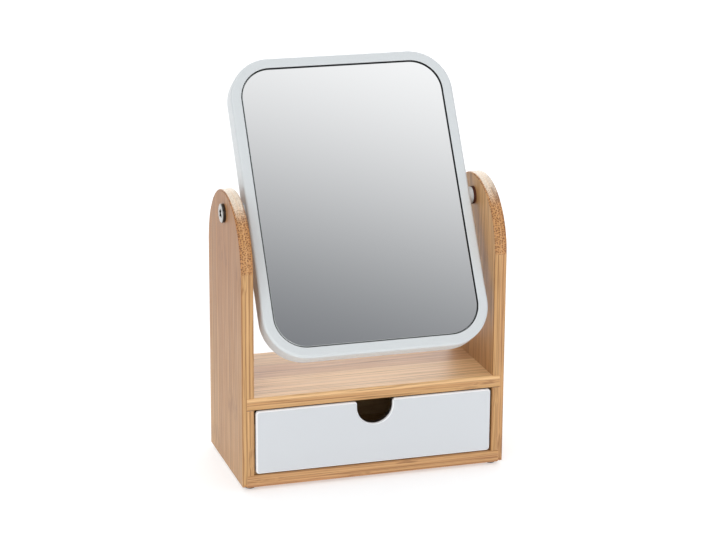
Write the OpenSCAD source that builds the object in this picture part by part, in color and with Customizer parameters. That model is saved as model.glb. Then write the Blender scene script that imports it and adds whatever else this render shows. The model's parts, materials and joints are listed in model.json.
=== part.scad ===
// Table-top makeup mirror on a bamboo stand with one drawer.
// Millimetres. X points right, Y points back, Z points up.
// The origin is on the table top, under the middle of the stand.

/* [Stand] */
// Overall width over the two side panels
stand_w = 200; // [160:1:280]
// Depth of the stand, front to back
stand_d = 99; // [90:1:130]
// Thickness of each side panel
panel_t = 9.2; // [8:0.1:14]
// Thickness of the shelf and of the bottom board
board_t = 9.3; // [7:0.1:14]
// How far the shelf and the bottom board are let into each side panel
housing_depth = 5.6; // [3:0.1:6]
// Radius of the rounded edges of the side panels and boards
edge_r = 1.5; // [0.5:0.1:2.5]
// Radius of the lower corners of the side panels, seen from the side
heel_r = 3.2; // [1.6:0.1:5]
// How far the round top of a side panel rises above the mirror's axis
top_over_pivot = 16.6; // [12:0.1:30]

/* [Back panel] */
// Thickness of the panel that closes the back of the drawer bay
back_t = 4; // [3:0.1:6]
// Distance from the back edge of the stand to the back panel
back_inset = 5; // [3:0.5:12]
// How far the back panel runs into the grooves around it
groove_depth = 3; // [1.5:0.1:4]

/* [Feet] */
// Diameter of a foot pad
foot_d = 7.6; // [5:0.1:12]
// Height of a foot pad
foot_h = 2; // [1:0.1:4]
// Distance from the stand's sides to the centre of a foot
foot_side_inset = 7.2; // [6.5:0.1:20]
// Distance from the stand's front and back to the centre of a foot
foot_front_inset = 7.6; // [6.5:0.1:20]
// Radius of the lower edge of a foot pad
foot_edge_r = 0.6; // [0.2:0.1:0.9]

/* [Drawer] */
// Clear height of the drawer bay
bay_h = 50; // [40:1:90]
// Gap between the drawer front and each side panel
front_side_gap = 1; // [0.5:0.1:2]
// Gap between the drawer front and the shelf
front_top_gap = 0.9; // [0.5:0.1:2]
// Gap between the drawer front and the bottom board
front_bottom_gap = 0.6; // [0.4:0.1:1.5]
// Thickness of the drawer front
front_t = 6; // [5:0.1:12]
// Radius of the corners of the drawer front
front_corner_r = 2.6; // [2.3:0.1:5]
// Radius of the front edges of the drawer front
front_edge_r = 2; // [0.4:0.1:2.2]
// Thickness of the drawer's sides and back
box_wall_t = 5; // [4:0.1:8]
// Height of the drawer's sides
box_h = 38; // [28:1:39]
// Gap between each side of the drawer's box and the side panel
box_side_gap = 0.8; // [0.4:0.1:2]
// Gap under the drawer's box
box_run_gap = 0.15; // [0.1:0.05:0.5]
// Gap between the drawer's box and the back panel when the drawer is shut
box_back_gap = 0.5; // [0.3:0.1:3]
// Thickness of the drawer's bottom
box_bottom_t = 3; // [2:0.1:5]
// Height of the drawer's bottom above the lower edge of its sides
box_bottom_rise = 3; // [2:0.1:6]
// Depth of the glued grooves and housings in the drawer's box
box_joint_depth = 2.4; // [1.5:0.1:3]

/* [Finger notch] */
// Width of the notch in the drawer front
notch_w = 27.2; // [20:0.1:32]
// Depth of the notch below the top edge of the drawer front
notch_depth = 18; // [16:0.1:25]
// Radius of the notch's upper corners, which turn outwards
notch_shoulder_r = 2.4; // [1:0.1:2.5]
// Radius of the notch's front edge
notch_edge_r = 1.2; // [0.4:0.1:1.8]

/* [Mirror frame] */
// Height of the mirror frame
mirror_h = 226.8; // [180:0.1:300]
// Depth of the mirror frame, front to back
mirror_depth = 16; // [15.6:0.1:22]
// Radius of the frame's corners
mirror_corner_r = 31.4; // [20:0.1:50]
// Width of the frame's rim round the glass
rim_w = 7.9; // [6:0.1:14]
// Radius of the frame's front and back edges
frame_edge_r = 2; // [0.5:0.1:2.2]
// Radius of the rim's inner edge, next to the glass
rim_inner_r = 0.6; // [0.2:0.1:0.8]
// Gap between the frame and each side panel
side_gap = 5.8; // [4:0.1:10]
// Gap between the upright mirror and the shelf
swing_gap = 11.6; // [5:0.1:40]
// How far the middle of the frame lies below the axis, so that the mirror hangs steady
mirror_drop = 0.8; // [0:0.1:10]
// How far the mirror leans back
tilt = 31.7; // [0:0.1:60]

/* [Frame moulding] */
// Thickness of the frame's outer wall
frame_wall_t = 2.6; // [2.4:0.1:4]
// Thickness of the web behind the glass
web_t = 2; // [1.5:0.1:2.5]
// Thickness of the wall between the rim's hollow and the glass pocket
pocket_wall_t = 1.6; // [1:0.1:2.5]
// Thickness of the stiffening ribs
rib_t = 1.6; // [1.2:0.1:3]
// Number of ribs that run across the frame
cross_ribs = 4; // [2:1:8]
// Height of the bosses that hold the threaded inserts
boss_h = 15; // [12:0.5:24]
// Length of the bosses inside the frame's wall
boss_len = 16; // [14:0.5:30]
// Thickness of the rear cover
cover_t = 2; // [1.5:0.1:2.5]
// Gap round the rear cover
cover_gap = 0.15; // [0.05:0.05:0.5]

/* [Glass] */
// Thickness of the mirror glass
glass_t = 2; // [1.8:0.1:2.5]
// Gap between the glass and its pocket
glass_gap = 0.7; // [0.2:0.05:1]
// Depth of the glass below the frame's front face
glass_recess = 1; // [0.7:0.1:1.3]
// Width of the ground edge of the glass
glass_bevel = 0.3; // [0.1:0.05:0.6]
// Thickness of the foam tape behind the glass
tape_t = 0.8; // [0.5:0.1:1]
// Width of a strip of foam tape
tape_w = 20; // [10:1:25]
// Number of strips of foam tape
tape_strips = 4; // [2:1:6]

/* [Pivots] */
// Diameter of the pivot screws
screw_d = 5; // [4:0.1:5.5]
// Diameter of the screw's head
head_d = 14; // [10:0.1:18]
// Height of the screw's domed head
head_h = 2.6; // [2:0.1:4]
// Height of the straight rim of the screw's head
head_rim_h = 0.6; // [0.3:0.1:1]
// Length of the cross recess in the screw's head, tip to tip
recess_w = 6.4; // [4:0.1:7]
// Width of each slot of the cross recess
recess_slot_w = 1.3; // [0.8:0.1:1.8]
// Depth of the cross recess
recess_depth = 1.7; // [1:0.1:1.8]
// Clearance round the screw in the side panel
screw_gap = 0.1; // [0.05:0.01:0.2]
// Gap under the screw's head and beside the friction washer, so that both turn
bearing_gap = 0.05; // [0.02:0.01:0.1]
// Diameter of the spacers between the frame and the side panels
spacer_d = 12.6; // [10:0.1:16]
// Radius of the spacer's rounded rim
spacer_edge_r = 0.5; // [0.2:0.1:0.8]
// Diameter of the friction washers
washer_d = 13.2; // [10:0.1:16]
// Thickness of the friction washers
washer_t = 1.8; // [1:0.1:2]
// Outer diameter of the threaded inserts in the frame
insert_d = 7; // [6.5:0.1:7.4]
// Distance from the web behind the glass to the inserts
insert_web_gap = 0.2; // [0.1:0.05:0.5]
// Length of the threaded inserts
insert_len = 12; // [8:0.5:12]
// Clearance between glued, pressed or screwed round pieces
seat_gap = 0.02; // [0.01:0.01:0.05]

/* [Hidden] */
$fn = 96;

bamboo = "#D3A673";
bamboo_light = "#DEB98C";
plywood = "#D9BE96";
white_paint = "#E9ECEE";
white_plastic = "#EEF0F1";
silvered_glass = "#C9CDD1";
foam = "#B9BCBE";
brass = "#C8A24A";
chrome = "#D7D9DB";
dark_rubber = "#33271F";

// Small overlap of cutting shapes past the faces that they cut
cut = 1;

// Levels of the stand
board_z0 = foot_h;
bay_z0 = board_z0 + board_t;
bay_z1 = bay_z0 + bay_h;
shelf_top = bay_z1 + board_t;

// Places across the stand
inner_x = stand_w / 2 - panel_t;
board_len = 2 * (inner_x + housing_depth);
front_y = -stand_d / 2;
back_panel_y0 = stand_d / 2 - back_inset - back_t;

// The mirror's axis and the side panels' round tops
pivot_z = shelf_top + swing_gap + mirror_h / 2 + mirror_drop;
panel_top = pivot_z + top_over_pivot;
arch_r = stand_d / 2;
arch_z = panel_top - arch_r;

// Drawer front and box
front_w = 2 * (inner_x - front_side_gap);
front_h = bay_h - front_top_gap - front_bottom_gap;
front_z0 = bay_z0 + front_bottom_gap;
front_z1 = front_z0 + front_h;
box_x = inner_x - box_side_gap;
box_z0 = bay_z0 + box_run_gap;
box_y0 = front_y + front_t - box_joint_depth;
box_y1 = back_panel_y0 - box_back_gap;
box_back_y0 = box_y1 - box_wall_t;
box_bottom_z0 = box_z0 + box_bottom_rise;
box_inner_x = box_x - box_wall_t;

// Frame, glass pocket and hollow, measured from the axis with the mirror upright
mirror_w = 2 * (inner_x - side_gap);
axis_set_back = glass_recess + glass_t + tape_t + web_t + insert_web_gap + insert_d / 2;
mirror_front = -axis_set_back;
mirror_back = mirror_front + mirror_depth;
pocket_w = mirror_w - 2 * rim_w;
pocket_h = mirror_h - 2 * rim_w;
pocket_r = mirror_corner_r - rim_w;
glass_front = mirror_front + glass_recess;
glass_back = glass_front + glass_t;
pocket_floor = glass_back + tape_t;
web_back = pocket_floor + web_t;
cover_front = mirror_back - cover_t;
hollow_w = mirror_w - 2 * frame_wall_t;
hollow_h = mirror_h - 2 * frame_wall_t;
hollow_r = mirror_corner_r - frame_wall_t;
rim_back = mirror_front + frame_wall_t;
boss_y0 = web_back - web_t / 2;

// Pivot stack, measured outwards from the frame's side
frame_x = mirror_w / 2;
spacer_len = side_gap - washer_t - bearing_gap;
washer_x = frame_x + spacer_len;
head_x = stand_w / 2 + bearing_gap;
screw_len = head_x - frame_x + insert_len;

// A rectangle with round corners, centred on the origin
module rounded_rect(w, h, r) {
    square([w - 2 * r, h], center = true);
    square([w, h - 2 * r], center = true);
    for (sx = [-1, 1]) {
        for (sy = [-1, 1]) {
            translate([sx * (w / 2 - r), sy * (h / 2 - r)]) circle(r = r);
        }
    }
}

// The right half of a disc, its centre at the origin
module half_disc(r) {
    intersection() {
        circle(r = r);
        translate([0, -r]) square([r, 2 * r]);
    }
}

// One side of a slab's outline: r wide, depth high, with both of its outer edges rounded
module edge_profile(r, depth, front_r, back_r) {
    translate([0, front_r]) square([r, depth - front_r - back_r]);
    square([r - front_r, depth / 2]);
    translate([0, depth / 2]) square([r - back_r, depth / 2]);
    translate([r - front_r, front_r]) half_disc(front_r);
    translate([r - back_r, depth - back_r]) half_disc(back_r);
}

// Sweeps a profile round a rectangle with round corners that stands in the XZ plane. The profile's
// x runs outwards from the corners' centres, and its y runs back from the plane y = 0.
module sweep_round_rect(w, h, r) {
    dx = w / 2 - r;
    dz = h / 2 - r;
    rotate([-90, 0, 0]) {
        for (i = [0:3]) {
            sx = (i == 0 || i == 3) ? 1 : -1;
            sy = (i < 2) ? 1 : -1;
            translate([sx * dx, sy * dz, 0])
                rotate([0, 0, 90 * i]) rotate_extrude(angle = 90) children();
        }
        for (turn = [0, 180]) {
            rotate([0, 0, turn])
                translate([dx, dz, 0]) rotate([90, 0, 0]) linear_extrude(2 * dz) children();
            rotate([0, 0, turn])
                translate([-dx, dz, 0]) rotate([90, 0, 90]) linear_extrude(2 * dx) children();
        }
    }
}

// A slab in the XZ plane with round corners and rounded front and back edges.
// Its front face lies at y = 0 and it reaches back to y = depth.
module rounded_slab(w, h, depth, r, front_r, back_r) {
    sweep_round_rect(w, h, r) edge_profile(r, depth, front_r, back_r);
    translate([0, depth / 2, 0]) cube([w - 2 * r, depth, h - 2 * r], center = true);
}

// A plain plate in the XZ plane with round corners, from y0 to y1
module plate(w, h, r, y0, y1) {
    translate([0, y1, 0])
        rotate([90, 0, 0])
            linear_extrude(y1 - y0) rounded_rect(w, h, r);
}

// A board along X with rounded long edges, its middle at the origin
module board(length, depth, thickness) {
    rotate([90, 0, 90])
        linear_extrude(length, center = true) rounded_rect(depth, thickness, edge_r);
}

// Places a piece of the mirror, which is drawn upright round its axis
module on_mirror() {
    translate([0, 0, pivot_z]) rotate([-tilt, 0, 0]) children();
}

// Turns a piece that is drawn along +Z from x = 0 into one that points out of the side
module point_outwards(side, x) {
    translate([side * x, 0, 0]) rotate([0, 90 * side, 0]) children();
}

// Body of a side panel without its joints, with its outer face at x = 0 and running to x = panel_t
module panel_blank() {
    intersection() {
        union() {
            translate([panel_t / 2, 0, board_z0])
                linear_extrude(arch_z - board_z0) rounded_rect(panel_t, stand_d, edge_r);
            translate([0, 0, arch_z])
                rotate([0, 90, 0])
                    rotate([0, 0, 90])
                        rotate_extrude(angle = 180) edge_profile(arch_r, panel_t, edge_r, edge_r);
        }
        // Lower corners seen from the side
        translate([-cut, 0, 0])
            rotate([90, 0, 90])
                linear_extrude(panel_t + 2 * cut) panel_side_outline();
        // Lower edges seen from the front
        translate([0, stand_d / 2 + cut, 0])
            rotate([90, 0, 0])
                linear_extrude(stand_d + 2 * cut) panel_front_outline();
    }
}

// Outline of a side panel seen from the side, closed above the round top
module panel_side_outline() {
    translate([-stand_d / 2, board_z0 + heel_r])
        square([stand_d, panel_top - board_z0 - heel_r + cut]);
    translate([-stand_d / 2 + heel_r, board_z0]) square([stand_d - 2 * heel_r, 2 * heel_r]);
    for (s = [-1, 1]) {
        translate([s * (stand_d / 2 - heel_r), board_z0 + heel_r]) circle(r = heel_r);
    }
}

// Outline of a side panel seen from the front, closed above the round top
module panel_front_outline() {
    translate([0, board_z0 + edge_r]) square([panel_t, panel_top - board_z0 - edge_r + cut]);
    translate([edge_r, board_z0]) square([panel_t - edge_r, 2 * edge_r]);
    translate([edge_r, board_z0 + edge_r]) circle(r = edge_r);
}

// Side panel: the blank with housings for both boards, a groove for the back and the pivot bore.
// Drawn as the left one, with its outer face at x = 0.
module side_panel() {
    difference() {
        panel_blank();
        translate([panel_t - housing_depth, -stand_d / 2 - cut, bay_z1])
            cube([housing_depth + cut, stand_d + 2 * cut, board_t]);
        translate([panel_t - housing_depth, -stand_d / 2 - cut, board_z0 - cut])
            cube([housing_depth + cut, stand_d + 2 * cut, board_t + cut]);
        translate([panel_t - groove_depth, back_panel_y0, bay_z0 - cut])
            cube([groove_depth + cut, back_t, bay_h + 2 * cut]);
        translate([-cut, 0, pivot_z])
            rotate([0, 90, 0]) cylinder(h = panel_t + 2 * cut, d = screw_d + 2 * screw_gap);
    }
}

module left_side_panel() {
    color(bamboo) translate([-stand_w / 2, 0, 0]) side_panel();
}

module right_side_panel() {
    color(bamboo) mirror([1, 0, 0]) translate([-stand_w / 2, 0, 0]) side_panel();
}

// The shelf is grooved underneath for the back panel
module shelf() {
    color(bamboo_light) difference() {
        translate([0, 0, bay_z1 + board_t / 2]) board(board_len, stand_d, board_t);
        back_groove(bay_z1 - cut, groove_depth + cut);
    }
}

// The bottom board is grooved on top for the back panel
module bottom_board() {
    color(bamboo_light) difference() {
        translate([0, 0, board_z0 + board_t / 2]) board(board_len, stand_d, board_t);
        back_groove(bay_z0 - groove_depth, groove_depth + cut);
    }
}

// A groove along X that takes the back panel's edge
module back_groove(z, h) {
    half = inner_x + groove_depth;
    translate([-half, back_panel_y0, z]) cube([2 * half, back_t, h]);
}

module back_panel() {
    half = inner_x + groove_depth;
    color(plywood)
        translate([-half, back_panel_y0, bay_z0 - groove_depth])
            cube([2 * half, back_t, bay_h + 2 * groove_depth]);
}

// A foot pad stuck under the stand, sx and sy choosing the corner
module foot(sx, sy) {
    color(dark_rubber)
        translate([sx * (stand_w / 2 - foot_side_inset), sy * (stand_d / 2 - foot_front_inset), 0])
            rotate_extrude() {
                square([foot_d / 2 - foot_edge_r, foot_h]);
                translate([0, foot_edge_r]) square([foot_d / 2, foot_h - foot_edge_r]);
                intersection() {
                    translate([foot_d / 2 - foot_edge_r, foot_edge_r]) circle(r = foot_edge_r);
                    square([foot_d, foot_h]);
                }
            }
}

module foot_front_left() {
    foot(-1, -1);
}

module foot_front_right() {
    foot(1, -1);
}

module foot_back_left() {
    foot(-1, 1);
}

module foot_back_right() {
    foot(1, 1);
}

// The U-shaped notch in the top edge of the drawer front, drawn in the XY plane with its top at y = 0
module notch_outline() {
    r = notch_w / 2;
    straight = notch_depth - notch_w / 2;
    translate([0, -straight]) circle(r = r);
    translate([-r, -straight]) square([2 * r, straight + cut]);
}

// Takes the sharp upper corners off the notch, one on each side
module notch_shoulders() {
    r = notch_shoulder_r;
    for (s = [-1, 1]) {
        difference() {
            translate([s * (notch_w / 2 + r / 2), -r / 2 + cut / 2]) square([r, r + cut], center = true);
            translate([s * (notch_w / 2 + r), -r]) circle(r = r);
        }
    }
}

// What the notch's rounded front edge takes off: x runs outwards from the notch's middle line, and y
// runs back from the drawer's front face
module notch_edge_profile() {
    difference() {
        translate([notch_w / 2 - cut, -cut]) square([notch_edge_r + cut, notch_edge_r + cut]);
        translate([notch_w / 2 + notch_edge_r, notch_edge_r]) circle(r = notch_edge_r);
    }
}

module notch_cutter() {
    straight = notch_depth - notch_w / 2;
    translate([0, front_y + front_t + cut, front_z1]) rotate([90, 0, 0]) {
        linear_extrude(front_t + 2 * cut) {
            notch_outline();
            notch_shoulders();
        }
    }
    translate([0, front_y, front_z1 - straight]) {
        rotate([-90, 0, 0]) rotate_extrude(angle = 180) notch_edge_profile();
        for (turn = [0, 1]) {
            mirror([turn, 0, 0]) linear_extrude(straight + cut) notch_edge_profile();
        }
    }
}

// The front is housed behind for the sides and grooved for the bottom
module drawer_front() {
    color(white_paint) difference() {
        translate([0, front_y, front_z0 + front_h / 2])
            rounded_slab(front_w, front_h, front_t, front_corner_r, front_edge_r, front_edge_r / 2);
        notch_cutter();
        for (s = [-1, 1]) {
            translate([s * (box_x - box_wall_t / 2), box_y0 + box_joint_depth, box_z0 + box_h / 2])
                cube([box_wall_t, 2 * box_joint_depth, box_h], center = true);
        }
        translate([-box_inner_x, box_y0, box_bottom_z0])
            cube([2 * box_inner_x, 2 * box_joint_depth, box_bottom_t]);
    }
}

// One side of the drawer's box, on the left for s = -1, grooved for the bottom and housed for the back
module drawer_side(s) {
    color(plywood) difference() {
        translate([s * (box_x - box_wall_t / 2), (box_y0 + box_y1) / 2, box_z0 + box_h / 2])
            cube([box_wall_t, box_y1 - box_y0, box_h], center = true);
        translate([s * box_inner_x, (box_y0 + box_y1) / 2, box_bottom_z0 + box_bottom_t / 2])
            cube([2 * box_joint_depth, box_y1 - box_y0 + cut, box_bottom_t], center = true);
        translate([s * box_inner_x, (box_back_y0 + box_y1 + cut) / 2, box_z0 + box_h / 2])
            cube([2 * box_joint_depth, box_wall_t + cut, box_h + cut], center = true);
    }
}

module drawer_left_side() {
    drawer_side(-1);
}

module drawer_right_side() {
    drawer_side(1);
}

// The drawer's back stands on the bottom
module drawer_back() {
    half = box_inner_x + box_joint_depth;
    z0 = box_bottom_z0 + box_bottom_t;
    color(plywood)
        translate([-half, box_back_y0, z0]) cube([2 * half, box_wall_t, box_z0 + box_h - z0]);
}

module drawer_bottom() {
    half = box_inner_x + box_joint_depth;
    color(plywood)
        translate([-half, box_y0, box_bottom_z0]) cube([2 * half, box_y1 - box_y0, box_bottom_t]);
}

// Pocket for the glass, with a rounded edge where it meets the frame's front face
module glass_pocket() {
    plate(pocket_w, pocket_h, pocket_r, mirror_front - cut, pocket_floor);
    translate([0, mirror_front, 0])
        sweep_round_rect(pocket_w, pocket_h, pocket_r)
            translate([pocket_r, 0])
                difference() {
                    translate([-rim_inner_r, -cut]) square([2 * rim_inner_r, cut + rim_inner_r]);
                    translate([rim_inner_r, rim_inner_r]) circle(r = rim_inner_r);
                }
}

// Hollow of the frame: behind the web, and deeper round the rim
module frame_hollow() {
    plate(hollow_w, hollow_h, hollow_r, web_back, mirror_back + cut);
    difference() {
        plate(hollow_w, hollow_h, hollow_r, rim_back, web_back + cut);
        plate(
            pocket_w + 2 * pocket_wall_t,
            pocket_h + 2 * pocket_wall_t,
            pocket_r + pocket_wall_t,
            rim_back - cut,
            web_back + 2 * cut
        );
    }
}

// Ribs behind the web and the two bosses for the threaded inserts, which carry the rear cover
module frame_ribs() {
    rib_depth = cover_front - boss_y0;
    pitch = hollow_h / (cross_ribs + 1);
    intersection() {
        plate(hollow_w + frame_wall_t, hollow_h + frame_wall_t, hollow_r, boss_y0, cover_front);
        union() {
            for (i = [1:cross_ribs]) {
                translate([0, boss_y0 + rib_depth / 2, -hollow_h / 2 + i * pitch])
                    cube([mirror_w, rib_depth, rib_t], center = true);
            }
            for (s = [-1, 1]) {
                translate([s * mirror_w / 6, boss_y0 + rib_depth / 2, 0])
                    cube([rib_t, rib_depth, mirror_h], center = true);
            }
        }
    }
}

module mirror_frame() {
    color(white_plastic) on_mirror() difference() {
        union() {
            translate([0, 0, -mirror_drop]) {
                difference() {
                    translate([0, mirror_front, 0])
                        rounded_slab(
                            mirror_w, mirror_h, mirror_depth, mirror_corner_r, frame_edge_r, frame_edge_r
                        );
                    glass_pocket();
                    frame_hollow();
                }
                frame_ribs();
            }
            for (s = [-1, 1]) {
                translate([s * (frame_x - frame_wall_t / 2 - boss_len / 2), (boss_y0 + cover_front) / 2, 0])
                    cube([boss_len, cover_front - boss_y0, boss_h], center = true);
            }
        }
        for (s = [-1, 1]) {
            point_outwards(s, frame_x - insert_len - cut)
                cylinder(h = insert_len + 2 * cut, d = insert_d + 2 * seat_gap);
        }
    }
}

module rear_cover() {
    color(white_plastic) on_mirror() translate([0, 0, -mirror_drop])
        plate(
            hollow_w - 2 * cover_gap, hollow_h - 2 * cover_gap, hollow_r - cover_gap, cover_front, mirror_back
        );
}

module mirror_glass() {
    color(silvered_glass) on_mirror() translate([0, glass_front, -mirror_drop])
        rounded_slab(
            pocket_w - 2 * glass_gap, pocket_h - 2 * glass_gap, glass_t, pocket_r - glass_gap,
            glass_bevel, glass_bevel
        );
}

// Upright strips of foam tape between the glass and the web
module glass_tape() {
    pitch = pocket_w / tape_strips;
    length = pocket_h - 2 * pocket_r;
    color(foam) on_mirror() translate([0, glass_back, -mirror_drop])
        for (i = [0:tape_strips - 1]) {
            translate([(i + 0.5) * pitch - pocket_w / 2 - tape_w / 2, 0, -length / 2])
                cube([tape_w, tape_t, length]);
        }
}

// A threaded insert, flush with the frame's side
module threaded_insert(s) {
    color(brass) on_mirror() point_outwards(s, frame_x - insert_len)
        difference() {
            cylinder(h = insert_len, d = insert_d);
            translate([0, 0, -cut]) cylinder(h = insert_len + 2 * cut, d = screw_d + 2 * seat_gap);
        }
}

module left_insert() {
    threaded_insert(-1);
}

module right_insert() {
    threaded_insert(1);
}

// A round spacer with rounded rims, against the frame's side
module spacer(s) {
    color(white_plastic) on_mirror() point_outwards(s, frame_x)
        difference() {
            rotate_extrude() edge_profile(spacer_d / 2, spacer_len, spacer_edge_r, spacer_edge_r);
            translate([0, 0, -cut]) cylinder(h = spacer_len + 2 * cut, d = screw_d + 2 * seat_gap);
        }
}

module left_spacer() {
    spacer(-1);
}

module right_spacer() {
    spacer(1);
}

// A washer that rubs on the side panel and holds the mirror at its tilt
module friction_washer(s) {
    color(dark_rubber) on_mirror() point_outwards(s, washer_x)
        difference() {
            cylinder(h = washer_t, d = washer_d);
            translate([0, 0, -cut]) cylinder(h = washer_t + 2 * cut, d = screw_d + 2 * seat_gap);
        }
}

module left_friction_washer() {
    friction_washer(-1);
}

module right_friction_washer() {
    friction_washer(1);
}

// Domed head over a short straight rim, drawn up from z = 0
module screw_head() {
    dome_h = head_h - head_rim_h;
    dome_r = (pow(head_d / 2, 2) + pow(dome_h, 2)) / (2 * dome_h);
    difference() {
        union() {
            cylinder(h = head_rim_h, d = head_d);
            intersection() {
                translate([0, 0, head_h - dome_r]) sphere(r = dome_r);
                translate([0, 0, head_rim_h / 2]) cylinder(h = head_h, d = head_d);
            }
        }
        for (a = [0, 90]) {
            rotate([0, 0, a])
                translate([0, 0, head_h - recess_depth + head_h / 2])
                    cube([recess_w, recess_slot_w, head_h], center = true);
        }
    }
}

module pivot_screw(s) {
    color(chrome) on_mirror() {
        point_outwards(s, head_x) screw_head();
        point_outwards(s, head_x - screw_len) cylinder(h = screw_len + head_rim_h / 2, d = screw_d);
    }
}

module left_pivot_screw() {
    pivot_screw(-1);
}

module right_pivot_screw() {
    pivot_screw(1);
}

left_side_panel();
right_side_panel();
shelf();
bottom_board();
back_panel();
foot_front_left();
foot_front_right();
foot_back_left();
foot_back_right();
drawer_front();
drawer_left_side();
drawer_right_side();
drawer_back();
drawer_bottom();
mirror_frame();
rear_cover();
mirror_glass();
glass_tape();
left_insert();
right_insert();
left_spacer();
right_spacer();
left_friction_washer();
right_friction_washer();
left_pivot_screw();
right_pivot_screw();
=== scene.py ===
"""Finishes and studio for a table-top makeup mirror on a bamboo stand with one drawer.

Metres, in the model's own frame: X right, Y back, Z up, with the origin on the table top.
"""

import json
import math

import bmesh
import bpy
from bpy.props import FloatProperty, FloatVectorProperty, PointerProperty
from mathutils import Matrix, Vector


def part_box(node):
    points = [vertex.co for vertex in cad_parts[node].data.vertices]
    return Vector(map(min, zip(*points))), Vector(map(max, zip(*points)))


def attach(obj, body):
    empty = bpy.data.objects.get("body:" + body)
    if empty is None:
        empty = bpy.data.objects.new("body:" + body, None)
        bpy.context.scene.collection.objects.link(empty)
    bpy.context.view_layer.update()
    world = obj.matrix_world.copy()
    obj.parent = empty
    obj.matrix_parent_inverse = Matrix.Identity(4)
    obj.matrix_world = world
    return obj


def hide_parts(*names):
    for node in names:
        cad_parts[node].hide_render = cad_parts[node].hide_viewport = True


bl_info = {
    "name": "Makeup Mirror",
    "version": (1, 0, 0),
    "blender": (4, 5, 0),
    "location": "3D View > Sidebar > Makeup Mirror",
    "description": "Gives each part of a makeup mirror its finish and sets the studio round it",
    "category": "Object",
}

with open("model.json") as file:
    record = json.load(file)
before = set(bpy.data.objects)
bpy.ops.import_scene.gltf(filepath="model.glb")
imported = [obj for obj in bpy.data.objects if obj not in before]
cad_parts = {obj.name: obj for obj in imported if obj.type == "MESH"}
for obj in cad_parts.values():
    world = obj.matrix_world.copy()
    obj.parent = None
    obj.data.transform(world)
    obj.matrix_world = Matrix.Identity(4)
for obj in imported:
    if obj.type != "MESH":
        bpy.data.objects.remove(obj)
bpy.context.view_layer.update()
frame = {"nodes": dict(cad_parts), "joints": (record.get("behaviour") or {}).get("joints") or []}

MM = 0.001

# The image that the camera's focal length was worked out for, in pixels
IMAGE_WIDTH = 716
SENSOR_WIDTH_MM = 36.0

WHITE = (1.0, 1.0, 1.0, 1.0)

# Settings of nodes that are used often: a soft step, a dot product and a mix of two colours
SOFT = {"interpolation_type": "SMOOTHSTEP"}
DOT = {"out": "Value", "operation": "DOT_PRODUCT"}
COLOURS = {"data_type": "RGBA", "out": 2}

# Sockets of a mix: its share, its two colours, and its two numbers
SHARE, FROM, TO = 0, 6, 7
FROM_NUMBER, TO_NUMBER = 2, 3

# Most values of a noise lie between these two
MIDDLE = (0.3, 0.7)

# The edge of a line runs softly between these shares of the line's width
LINE_EDGE = (0.35, 0.65)

# Where one of the joints between strips of bamboo lies, from the stand's middle
STRIP_START = -34.5 * MM

# The seed that each bamboo board draws its strips from, and how much painted shade a side panel has,
# from its lower part to its top
PANELS = {"left_side_panel": (300986, (0.1, 0.62)), "right_side_panel": (674562, (0.42, 0.0))}
BOARDS = {"shelf": 850925, "bottom_board": 27629}

# A panel's painted shade changes from this many radii of its round top below the top's middle
SHADE_RADII = 4

# Where the palest, the usual and the darkest strips lie in the range of chance, and over how many
# metres of grain chance scatters the strips
STRIP_STOPS = (0.1, 0.5, 0.9)
STRIP_SCATTER = 10.0

# Nodes of the culm: by how many spacings they shift from strip to strip, how far they lie askew and in
# patches of which size, and from where to where their smudge fades
NODE_SHIFTS = 7
NODE_ASKEW = 14 * MM
NODE_PATCH = (14 * MM, 9 * MM, 1.0)
NODE_FADE = (0.5 * MM, 12 * MM)

# Fibres: how far they waver and in patches of which size, how far they swerve at a node, and the
# patches of slow changes of tone and of a node's smudge, across, through and along the grain
WAVER = 2.2 * MM
WAVER_PATCH = (1.0, 12 * MM, 70 * MM)
NODE_SWERVE = 0.9 * MM
SLOW_PATCH = (5 * MM, 4 * MM, 130 * MM)
SMUDGE_PATCH = (3 * MM, 3 * MM, 14 * MM)

# Fibre bundles, in shares of their spacing: their sizes, and from where to where one fades at its
# edge, on a face along the grain and as a dot
BUNDLE_SIZES = (0.7, 1.1)
LINE_FADE = (0.14, 0.4)
DOT_FADE = (0.22, 0.46)

# How squarely the surface looks along the grain where the round end starts, and where the painted highlight
# on its crown does
ROUND_EDGE = (0.01, 0.05)
CROWN_HIGHLIGHT_EDGE = (0.66, 0.95)

# Steps round a turned piece and round a quarter of an arc, and the angle from which an edge is sharp
TURN_STEPS = 96
ARC_STEPS = 6
SHARP_ANGLE = math.radians(35)

# A bar that cuts a slot of a screw's recess tapers. These are its shares of the slot's reach and width
# above the head and at its foot.
BAR_ABOVE = (1.25, 1.1)
BAR_FOOT = (0.5, 0.8)

# The corners of a square in order round it, and half the width of the floor
SQUARE = ((-1, -1), (1, -1), (1, 1), (-1, 1))
FLOOR_HALF_WIDTH = 20.0

# The edge of the overhead canopy, as the mirror shows it: the brightness rises towards this direction
CANOPY_TOWARDS = (0.2307, 0.8940, 0.3841)
CANOPY_DARK = -0.32
CANOPY_BRIGHT = -0.15

# The canopy starts and is full at these heights above the horizon, as sines of the elevation
CANOPY_FOOT = 0.4
CANOPY_FULL = 0.62

# Softboxes in the studio: setting, azimuth, elevation, and the angles from there to where the box
# starts to fade and to where it ends, in degrees
SOFTBOXES = (
    ("front", 0, 8, 10, 28),
    ("front_high", -15, 25, 10, 24),
    ("left", -45, 22, 12, 30),
    ("back", 175, 18, 12, 32),
    ("back_right", 140, 18, 12, 32),
)


def linear(code):
    """Linear red, green, blue and alpha of an sRGB hex colour."""
    parts = [int(code[i:i + 2], 16) / 255 for i in (1, 3, 5)]
    values = [part / 12.92 if part <= 0.04045 else ((part + 0.055) / 1.055) ** 2.4 for part in parts]
    return (*values, 1.0)


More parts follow.
